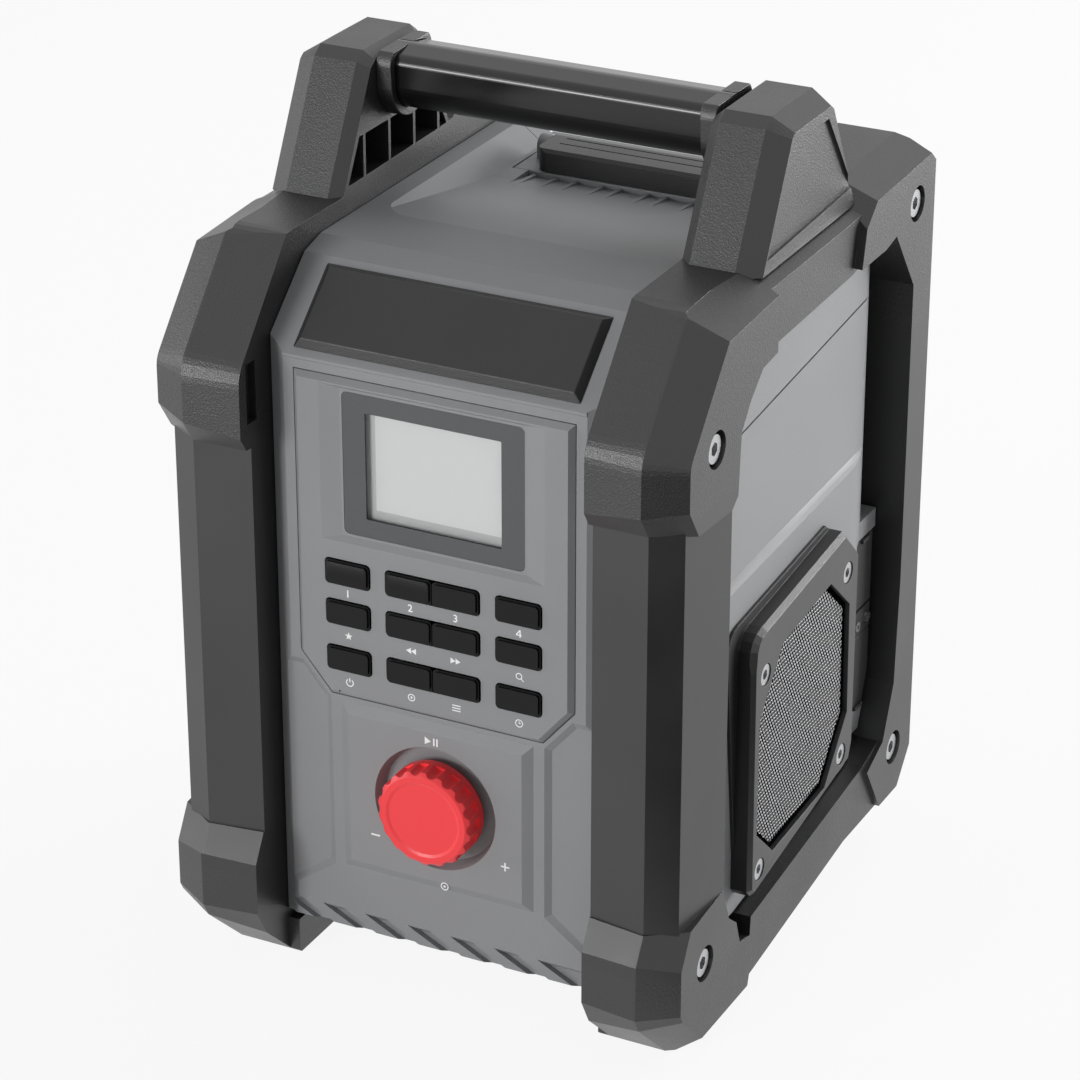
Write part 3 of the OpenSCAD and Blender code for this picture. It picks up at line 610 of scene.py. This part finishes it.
@dataclass
class BumperFrames:
    """The two side frames with their collars, all screws and all rubber pieces.

    Attributes:
        frame_rounding: Width of the frames' rounding.
        collar_rounding: Width of the collars' rounding.
    """

    frame_rounding: float = 1.2
    collar_rounding: float = 0.9

    def dress(self) -> None:
        """Colours the pieces, and rounds the frames and the collars."""
        dress(["frame_left", "frame_right", "collars"], FRAME_ABS.build())
        for name in ("frame_left", "frame_right"):
            soften(NODES[name], self.frame_rounding)
        soften(NODES["collars"], self.collar_rounding)
        dress(["frame_screws", "speaker_screws", "strip_screws"], SCREW_STEEL.build())
        dress(["rear_feet", "flap_upper", "flap_lower", "flap_strip", "power_socket"], RUBBER.build())


@dataclass
class CarryBar:
    """The bar between the two handle posts.

    Attributes:
        rounding: Width of its rounding.
    """

    rounding: float = 0.8

    def dress(self) -> None:
        """Colours and rounds the bar."""
        dress(["handle_grip"], BAR_ABS.build())
        soften(NODES["handle_grip"], self.rounding)


@dataclass
class Housing:
    """Front and rear housing, name plate, battery door and latch.

    Attributes:
        rounding: Width of the rounding of all but the plate.
        plate_rounding: Width of the plate's rounding.
    """

    rounding: float = 0.6
    plate_rounding: float = 0.35

    def dress(self) -> None:
        """Colours and rounds the housing pieces."""
        dress(["housing_front", "housing_rear", "battery_door"], HOUSING_ABS.build())
        dress(["name_plate", "door_latch"], PLATE_ABS.build())
        for name in ("housing_front", "housing_rear", "battery_door", "door_latch"):
            soften(NODES[name], self.rounding)
        soften(NODES["name_plate"], self.plate_rounding)


@dataclass
class FrontMarks:
    """White signs printed on the control panel and round the knob.

    Attributes:
        panel_y: Depth of the panel's face.
        knob_panel_y: Depth of the knob panel's face.
        film: Thickness of the print, drawn thick enough not to flicker.
        columns: X of the four key columns.
        rows: Z of the three rows of marks.
        digit_height: Height of a figure.
        stroke_gain: How much fatter a figure's strokes are than the plain font's.
    """

    panel_y: float = 16.5
    knob_panel_y: float = 16.3
    film: float = 0.04
    columns: tuple[float, ...] = (-31.7, -8.3, 8.5, 31.7)
    rows: tuple[float, ...] = (148.4, 132.9, 115.6)
    digit_height: float = 2.7
    stroke_gain: float = 0.06

    def icon(self, kind: Icon, x: float, z: float, size: float) -> list[np.ndarray]:
        """Outlines of one sign.

        Args:
            kind: Which sign.
            x: Centre X.
            z: Centre Z.
            size: Height of the sign.

        Returns:
            Closed outlines as (X, Z) arrays.
        """
        h = size / 2
        arrow = np.array([[-h, -h], [h * 0.7, 0.0], [-h, h]])
        if kind is Icon.FORWARD:
            parts = [arrow + (-h * 0.8, 0), arrow + (h * 0.9, 0)]
        elif kind is Icon.BACK:
            parts = [(arrow * (-1, 1))[::-1] + (h * 0.8, 0), (arrow * (-1, 1))[::-1] + (-h * 0.9, 0)]
        elif kind is Icon.PLAY_PAUSE:
            bars = [box_outline(h * start, h * (start + 0.4), -h, h) for start in (0.35, 1.2)]
            parts = [arrow + (-h * 0.9, 0), *bars]
        elif kind is Icon.POWER:
            stroke = box_outline(-h * 0.15, h * 0.15, h * 0.1, h * 1.35)
            parts = [band(0, 0, h, h * 0.3, 125, 415), stroke]
        elif kind is Icon.STAR:
            turns = np.radians(np.arange(10) * 36 + 90)
            reach = np.where(np.arange(10) % 2, h * 0.5, h * 1.15)
            parts = [np.column_stack([reach * np.cos(turns), reach * np.sin(turns)])]
        elif kind is Icon.RING:
            parts = [band(0, 0, h, h * 0.3, 0, 359), circle(0, 0, h * 0.35, 16)]
        elif kind is Icon.BARS:
            wide, thin = h * 1.3, h * 0.16
            parts = [box_outline(-wide, wide, up * h - thin, up * h + thin) for up in (-0.8, 0.0, 0.8)]
        elif kind is Icon.CLOCK:
            long_hand = box_outline(-h * 0.1, h * 0.1, -h * 0.1, h * 0.65)
            short_hand = box_outline(h * 0.1, h * 0.5, -h * 0.1, h * 0.12)
            parts = [band(0, 0, h, h * 0.25, 0, 359), long_hand, short_hand]
        elif kind is Icon.LENS:
            grip = np.array([[0.55, -0.75], [1.2, -1.4], [1.4, -1.2], [0.75, -0.55]]) * h
            parts = [band(0, 0, h * 0.8, h * 0.26, 0, 359), grip]
        elif kind is Icon.FOUR:
            stem = [(0.08, -0.5), (0.25, -0.5), (0.25, -0.28), (0.38, -0.28), (0.38, -0.13), (0.25, -0.13)]
            stem += [(0.25, 0.5), (0.08, 0.5)]
            arm = [(-0.4, -0.28), (0.08, -0.28), (0.08, -0.13), (-0.2, -0.13), (0.08, 0.26), (0.08, 0.5)]
            arm += [(0.05, 0.5), (-0.4, -0.13)]
            parts = [np.array(stem) * size, np.array(arm) * size]
        elif kind is Icon.MINUS:
            parts = [box_outline(-h, h, -h * 0.18, h * 0.18)]
        else:
            t = h * 0.18
            cross = [(t, -h), (t, -t), (h, -t), (h, t), (t, t), (t, h)]
            cross += [(-t, h), (-t, t), (-h, t), (-h, -t), (-t, -t), (-t, -h)]
            parts = [np.array(cross)]
        return [part + (x, z) for part in parts]

    def digit(self, text: str, x: float, z: float) -> Solid:
        """A plain figure as a thin solid: the font's outline, as thick as the film.

        Args:
            text: One figure.
            x: Centre X.
            z: Centre Z.

        Returns:
            Points and faces.
        """
        curve = bpy.data.curves.new("figure", "FONT")
        curve.body = text
        curve.align_x = "CENTER"
        curve.align_y = "CENTER"
        curve.size = self.digit_height * 1.4
        curve.extrude = self.film / 2
        curve.offset = self.stroke_gain
        source = bpy.data.objects.new("figure", curve)
        bpy.context.collection.objects.link(source)
        mesh = bpy.data.meshes.new_from_object(source)
        flat = np.empty(len(mesh.vertices) * 3)
        mesh.vertices.foreach_get("co", flat)
        flat = flat.reshape(-1, 3)
        faces = [list(face.vertices) for face in mesh.polygons]
        bpy.data.objects.remove(source)
        bpy.data.curves.remove(curve)
        bpy.data.meshes.remove(mesh)
        # the figure's own X, Y and Z become X, Z and minus Y
        depth = self.panel_y - self.film / 2 - flat[:, 2]
        return np.column_stack([flat[:, 0] + x, depth, flat[:, 1] + z]), faces

    def build(self) -> bpy.types.Object:
        """Builds all the marks as one object.

        Returns:
            The marks.
        """
        top, middle, low = self.rows
        parts = [self.digit(str(i + 1), x, top) for i, x in enumerate(self.columns[:3])]
        front = self.panel_y - self.film
        # sign, X, Z and height, first on the control panel, then round the knob
        for kind, x, z, size in (
            (Icon.FOUR, self.columns[3], top, self.digit_height),
            (Icon.BACK, self.columns[1], middle, 2.2),
            (Icon.FORWARD, self.columns[2], middle, 2.2),
            (Icon.POWER, self.columns[0], low, 2.6),
            (Icon.STAR, self.columns[0], middle, 2.6),
            (Icon.LENS, self.columns[3], middle, 2.6),
            (Icon.RING, self.columns[1], low, 2.4),
            (Icon.BARS, self.columns[2], low, 2.4),
            (Icon.CLOCK, self.columns[3], low, 2.6),
        ):
            parts += [prism(line, front, self.panel_y) for line in self.icon(kind, x, z, size)]
        front = self.knob_panel_y - self.film
        for kind, x, z, size in (
            (Icon.PLAY_PAUSE, -0.8, 100.9, 2.8),
            (Icon.MINUS, -22.9, 59.8, 3.4),
            (Icon.PLUS, 26.4, 60.2, 3.2),
            (Icon.RING, 3.4, 46.6, 2.6),
        ):
            parts += [prism(line, front, self.knob_panel_y) for line in self.icon(kind, x, z, size)]
        points, faces = join(parts)
        marks = mesh_object("front_marks", points, faces, "radio")
        marks.data.materials.append(WHITE_INK.build())
        return marks


@dataclass
class ControlFace:
    """The control panel, its keys and the screen.

    Attributes:
        lens: Half width and half height of the pane.
        window: Half width and half height of the clear window.
        lens_corner: Corner radius of the pane.
        window_corner: Corner radius of the clear window.
        centre_z: Height of the screen's middle.
        lens_y: Depth of the pane's face.
        crystal_y: Depth of the display's front glass.
        module_y: Depth of the module that carries it.
        overlap: How far the glass reaches past the window.
        panel_rounding: Width of the panel's rounding.
        key_rounding: Width of a key's rounding.
    """

    lens: tuple[float, float] = (33.1, 25.2)
    window: tuple[float, float] = (24.85, 18.85)
    lens_corner: float = 1.9
    window_corner: float = 0.5
    centre_z: float = 195.3
    lens_y: float = 18.0
    crystal_y: float = 20.2
    module_y: float = 23.58
    overlap: float = 0.8
    panel_rounding: float = 0.35
    key_rounding: float = 0.45

    def screen_border(self) -> bpy.types.Object:
        """Black border printed on the pane: a rounded frame between two rounded rectangles.

        Returns:
            The border.
        """
        inset, film = 0.02, 0.03
        outer = self.rounded(self.lens[0] - inset, self.lens[1] - inset, self.lens_corner)
        inner = self.rounded(*self.window, self.window_corner)
        count = len(outer)
        layers = [
            np.column_stack([line[:, 0], np.full(count, depth), line[:, 1] + self.centre_z])
            for depth in (self.lens_y - film, self.lens_y)
            for line in (outer, inner)
        ]
        points = np.vstack(layers)
        ring = np.arange(count)
        after = np.roll(ring, -1)
        quads = [
            np.column_stack([ring, after, after + count, ring + count]),
            np.column_stack([ring + 2 * count, ring + 3 * count, after + 3 * count, after + 2 * count]),
            np.column_stack([ring, ring + 2 * count, after + 2 * count, after]),
            np.column_stack([ring + count, after + count, after + 3 * count, ring + 3 * count]),
        ]
        border = mesh_object("screen_border", points, np.vstack(quads), "radio")
        # the border is black ink whose dark grey is a painted sheen
        border.data.materials.append(MASK_INK.build())
        return border

    def crystal(self) -> bpy.types.Object:
        """The display's front glass, close behind the pane: a flat box a little larger than the window.

        Returns:
            The glass.
        """
        half_w, half_h = self.window[0] + self.overlap, self.window[1] + self.overlap
        outline = box_outline(-half_w, half_w, self.centre_z - half_h, self.centre_z + half_h)
        points, faces = prism(outline, self.crystal_y, self.module_y)
        glass = mesh_object("display_glass", points, faces, "radio")
        glass.data.materials.append(CRYSTAL.build())
        return glass

    def rounded(self, half_w: float, half_h: float, r: float) -> np.ndarray:
        """Outline of a rounded rectangle: four quarter circles joined, counter-clockwise.

        Args:
            half_w: Half its width.
            half_h: Half its height.
            r: Radius of its corners.

        Returns:
            The outline.
        """
        w, h = half_w - r, half_h - r
        corners = [(w, -h, -90), (w, h, 0), (-w, h, 90), (-w, -h, 180)]
        return np.vstack([circle(x, z, r, 7, start, start + 90) for x, z, start in corners])

    def dress(self) -> None:
        """Colours the panel, the keys and the screen."""
        keys = [f"key_{number}" for number in range(1, 13)]
        dress(["control_panel"], PANEL_ABS.build())
        dress(keys, KEY_ABS.build())
        soften(NODES["control_panel"], self.panel_rounding)
        for key in keys:
            soften(NODES[key], self.key_rounding)
        dress(["screen_lens"], WINDOW.build())
        dress(["lcd_module"], CRYSTAL.build())


@dataclass
class PushKnob:
    """The red knob, the parts behind it and the other small metal pieces.

    Attributes:
        rounding: Width of the knob's rounding.
    """

    rounding: float = 0.4

    def dress(self) -> None:
        """Colours the pieces and rounds the knob."""
        dress(["knob"], KNOB_ABS.build())
        soften(NODES["knob"], self.rounding)
        steel = ["encoder", "encoder_shaft", "key_switches", "latch_pin", "door_pin", "aux_socket"]
        dress(steel, PIN_STEEL.build())
        dress(["encoder_rotor", "battery_terminals"], BRASS.build())
        dress(["control_board"], BOARD.build())


@dataclass
class Speaker:
    """One side speaker: ring, mesh and cone.

    Attributes:
        side: Which side it is on.
        outline: Corners of the mesh as (Y, Z).
        face_x: X of the sheet under the mesh.
        pitch: Spacing of the mesh holes.
        hole: Radius of a hole, to a corner of its hexagon.
        thick: How far the mesh stands off the sheet.
        border: Width of the black border.
        rounding: Width of the ring's rounding.
    """

    side: Side
    outline: tuple[tuple[float, float], ...] = (
        (124.9, 133.2), (142.2, 118.1), (143.5, 75.3), (124.8, 53.7),
        (80.7, 51.5), (66.6, 64.5), (66.8, 108.1), (84.8, 128.9),
    )
    face_x: float = 93.3
    pitch: float = 1.82
    hole: float = 0.86
    thick: float = 0.4
    border: float = 2.2
    rounding: float = 0.7

    def inside(self, y: np.ndarray, z: np.ndarray, margin: float) -> np.ndarray:
        """Tests which points lie inside the clockwise outline by more than a margin.

        Args:
            y: Y of the points.
            z: Z of the points.
            margin: Least distance to the outline.

        Returns:
            True where a point is inside.
        """
        corners = np.array(self.outline)
        keep = np.ones(y.shape, bool)
        for a, b in zip(corners, np.roll(corners, -1, axis=0)):
            along = (b - a) / np.linalg.norm(b - a)
            keep &= (y - a[0]) * along[1] - (z - a[1]) * along[0] > margin
        return keep

    def rim(self, x: float) -> tuple[np.ndarray, np.ndarray]:
        """A flat black border that covers the cut cells: the outline, and the same outline moved in.

        An inner corner is where its two edges meet once each is moved in by the border's width.

        Args:
            x: Where the border lies.

        Returns:
            Points and faces.
        """
        corners = np.array(self.outline)
        along = np.roll(corners, -1, axis=0) - corners
        along /= np.linalg.norm(along, axis=1)[:, None]
        inward = np.column_stack([along[:, 1], -along[:, 0]])
        before = np.roll(inward, 1, axis=0)
        half = (before + inward) / (1 + np.sum(before * inward, axis=1))[:, None]
        inner = corners + half * self.border
        count = len(corners)
        flat = np.vstack([corners, inner])
        ring = np.arange(count)
        after = np.roll(ring, -1)
        faces = np.column_stack([ring, ring + count, after + count, after])
        return np.column_stack([np.full(2 * count, x), flat]), faces

    def build(self) -> bpy.types.Object:
        """Builds the fine mesh: hexagon cells in staggered rows, each with a hexagon hole.

        A cell is a sloped ring between a hexagon whose flats are a pitch apart and the smaller one of the
        hole, and a short wall down the hole.

        Returns:
            The mesh.
        """
        first_y, first_z, margin = 60, 45, 1.3
        step_y, step_z = self.pitch, self.pitch * math.sqrt(3) / 2
        rows, cols = np.meshgrid(np.arange(-4, 110), np.arange(-4, 70), indexing="ij")
        y = first_y + cols * step_y + (rows % 2) * step_y / 2
        z = first_z + rows * step_z
        keep = self.inside(y, z, margin)
        y, z = y[keep], z[keep]
        angles = np.radians(np.arange(6) * 60 + 30)
        ring = np.column_stack([np.cos(angles), np.sin(angles)])
        # a hair of overlap closes the seams between the cells
        outer = ring * (self.pitch / math.sqrt(3) * 1.002)
        inner = ring * self.hole
        layers = []
        top, drop = self.face_x + self.thick, 0.08
        for shape, x in ((outer, top), (inner, top - drop), (inner, top - 2 * drop)):
            cell = np.zeros((len(y), 6, 3))
            cell[:, :, 0] = x
            cell[:, :, 1] = y[:, None] + shape[:, 0]
            cell[:, :, 2] = z[:, None] + shape[:, 1]
            layers.append(cell)
        points = np.concatenate(layers, axis=1).reshape(-1, 3)
        corner = np.arange(6)
        after = (corner + 1) % 6
        ring_faces = np.column_stack([corner, after, after + 6, corner + 6])
        cell_faces = np.vstack([ring_faces, ring_faces + 6])
        first_points = np.arange(len(y)) * 6 * len(layers)
        faces = (first_points[:, None, None] + cell_faces[None]).reshape(-1, 4)
        rim, rim_faces = self.rim(top + 0.02)
        faces = np.vstack([faces, rim_faces + len(points)])
        points = np.vstack([points, rim])
        points[:, 0] *= self.side.value
        if self.side is Side.LEFT:
            faces = faces[:, ::-1]
        name = f"mesh_{self.side.name.lower()}"
        mesh = mesh_object(name, points, faces, "radio")
        mesh.data.materials.append(MESH_METAL.build())
        mesh.data.materials.append(HOLE_SHADE_AND_RIM_BLACK.build())
        # the first six faces of a cell are its ring with a painted highlight, the other six the wall of the
        # hole in painted shade
        cell_shades = np.tile(np.repeat((0, 1), 6), len(y))
        shades = np.concatenate([cell_shades, np.ones(len(rim_faces), int)])
        mesh.data.polygons.foreach_set("material_index", shades.astype(np.int32))
        return mesh

    def dress(self) -> None:
        """Colours the ring, the sheet behind the mesh and the cone, and rounds the ring."""
        side = self.side.name.lower()
        dress([f"speaker_frame_{side}"], SPEAKER_ABS.build())
        soften(NODES[f"speaker_frame_{side}"], self.rounding)
        # on the grille sheet the black pulp is painted shade for the depth behind the mesh holes; on the
        # driver it is the cone's own colour
        dress([f"grille_{side}", f"driver_{side}"], PULP_AND_GRILLE_SHADE.build())


@dataclass(frozen=True)
class Lamp:
    """A square soft lamp.

    Attributes:
        name: Its name.
        at: Its place in metres.
        size: Side length in metres.
        watts: Its power.
    """

    name: str
    at: Place
    size: float
    watts: float


@dataclass
class Studio:
    """Pale floor, soft lamps and the camera.

    Attributes:
        centre: Where the lamps point.
        camera_at: Place of the camera.
        yaw: How far the camera is turned to the left, in degrees.
        pitch: How far it looks down, in degrees.
        lens: Its focal length in millimetres.
        fill: Strength of the even light on the radio.
        floor_white: Share of plain white in the floor as it is seen.
        sky_white: Strength of the white behind as it is seen.
        lamps: The soft lamps.
    """

    centre: Place = (0.0, 0.0, 0.155)
    camera_at: Place = (0.5406, -1.0734, 0.7082)
    yaw: float = 26.95
    pitch: float = 25.38
    lens: float = 128.3
    fill: float = 0.25
    floor_white: float = 0.9
    sky_white: float = 0.96
    lamps: tuple[Lamp, ...] = (
        Lamp("top box", (0.2, 0.8, 1.7), 1.2, 5.5),
        Lamp("left box", (-1.9, -0.6, 0.5), 1.0, 7.0),
        Lamp("right box", (1.15, 1.55, 0.28), 1.1, 48.0),
        Lamp("front box", (-0.9, -1.95, 0.4), 0.75, 20.5),
    )

    def floor(self) -> None:
        """A pale floor that keeps the radio's soft shadow and runs out into white."""
        mesh = bpy.data.meshes.new("floor")
        reach = 12.0
        corners = [(-reach, -reach, 0), (reach, -reach, 0), (reach, reach, 0), (-reach, reach, 0)]
        mesh.from_pydata(corners, [], [(0, 1, 2, 3)])
        floor = bpy.data.objects.new("floor", mesh)
        bpy.context.collection.objects.link(floor)
        material, tree, surface = new_material("pale studio floor")
        white = add_node(tree, "ShaderNodeEmission", Color=WHITE, Strength=1.0)
        paint = add_node(tree, "ShaderNodeBsdfDiffuse", Color=linear("f4f4f4"))
        share = maths(tree, "MULTIPLY", self.seen(tree), self.floor_white)
        mix = add_node(tree, "ShaderNodeMixShader", i0=share, i1=paint.outputs[0], i2=white.outputs[0])
        tree.links.new(mix.outputs[0], surface)
        mesh.materials.append(material)

    def seen(self, tree: Tree) -> Socket:
        """Tells which rays show the background: straight, mirrored and through glass.

        Args:
            tree: The node tree.

        Returns:
            1 for those rays, else 0.
        """
        path = add_node(tree, "ShaderNodeLightPath").outputs
        mirrored = maths(tree, "MAXIMUM", path["Is Camera Ray"], path["Is Glossy Ray"])
        return maths(tree, "MAXIMUM", mirrored, path["Is Transmission Ray"])

    def world(self) -> None:
        """White behind the radio, and a soft even light on it."""
        world = bpy.data.worlds.new("studio")
        world.use_nodes = True
        tree = world.node_tree
        tree.nodes.clear()
        strength = map_range(tree, self.seen(tree), 0.0, 1.0, self.fill, self.sky_white)
        glow = add_node(tree, "ShaderNodeBackground", Color=WHITE, Strength=strength)
        output = add_node(tree, "ShaderNodeOutputWorld")
        tree.links.new(glow.outputs[0], output.inputs["Surface"])
        bpy.context.scene.world = world

    def hang(self, lamp: Lamp) -> None:
        """Hangs up a lamp so that it faces the radio.

        Args:
            lamp: The lamp.
        """
        light = bpy.data.lights.new(lamp.name, "AREA")
        light.size = lamp.size
        light.energy = lamp.watts
        piece = bpy.data.objects.new(lamp.name, light)
        piece.location = lamp.at
        aim = np.array(self.centre) - np.array(lamp.at)
        flat = math.hypot(aim[0], aim[1])
        piece.visible_camera = False
        piece.rotation_euler = (math.atan2(flat, -aim[2]), 0.0, math.atan2(-aim[0], aim[1]))
        bpy.context.collection.objects.link(piece)

    def flag(self) -> None:
        """A black card on the floor, in front of the right side, that only mirrored rays see.

        It keeps the bevels between front and side dark, as a flag in a studio does.
        """
        left, right, near, far = 0.13, 0.6, -0.75, -0.08
        lift = 0.002
        mesh = bpy.data.meshes.new("flag")
        corners = [(left, near, lift), (right, near, lift), (right, far, lift), (left, far, lift)]
        mesh.from_pydata(corners, [], [(0, 1, 2, 3)])
        card = bpy.data.objects.new("flag", mesh)
        bpy.context.collection.objects.link(card)
        material, tree, surface = new_material("black flag cloth")
        cloth = add_node(tree, "ShaderNodeBsdfDiffuse", Color=linear("050505"))
        tree.links.new(cloth.outputs[0], surface)
        mesh.materials.append(material)
        card.visible_camera = False
        card.visible_diffuse = False
        card.visible_shadow = False
        card.visible_transmission = False

    def camera(self) -> None:
        """The camera, in front, to the right and above."""
        data = bpy.data.cameras.new("camera")
        data.lens = self.lens
        data.sensor_width = 36.0
        camera = bpy.data.objects.new("camera", data)
        camera.location = self.camera_at
        camera.rotation_euler = (math.radians(90 - self.pitch), 0.0, math.radians(self.yaw))
        bpy.context.collection.objects.link(camera)
        bpy.context.scene.camera = camera

    def build(self) -> None:
        """Sets up the studio."""
        self.floor()
        self.world()
        self.flag()
        for lamp in self.lamps:
            self.hang(lamp)
        self.camera()


def main() -> None:
    """Builds and dresses every sub-assembly in order."""
    logging.basicConfig(level=logging.INFO, format="%(name)s: %(message)s")
    bpy.context.scene.view_settings.view_transform = "Standard"
    BumperFrames().dress()
    CarryBar().dress()
    Housing().dress()
    face = ControlFace()
    face.dress()
    LOG.info("built %s", face.screen_border().name)
    LOG.info("built %s", face.crystal().name)
    LOG.info("built %s", FrontMarks().build().name)
    PushKnob().dress()
    for side in Side:
        speaker = Speaker(side)
        speaker.dress()
        LOG.info("built %s", speaker.build().name)
    Studio().build()
    bpy.context.view_layer.update()


if __name__ == "__main__":
    main()
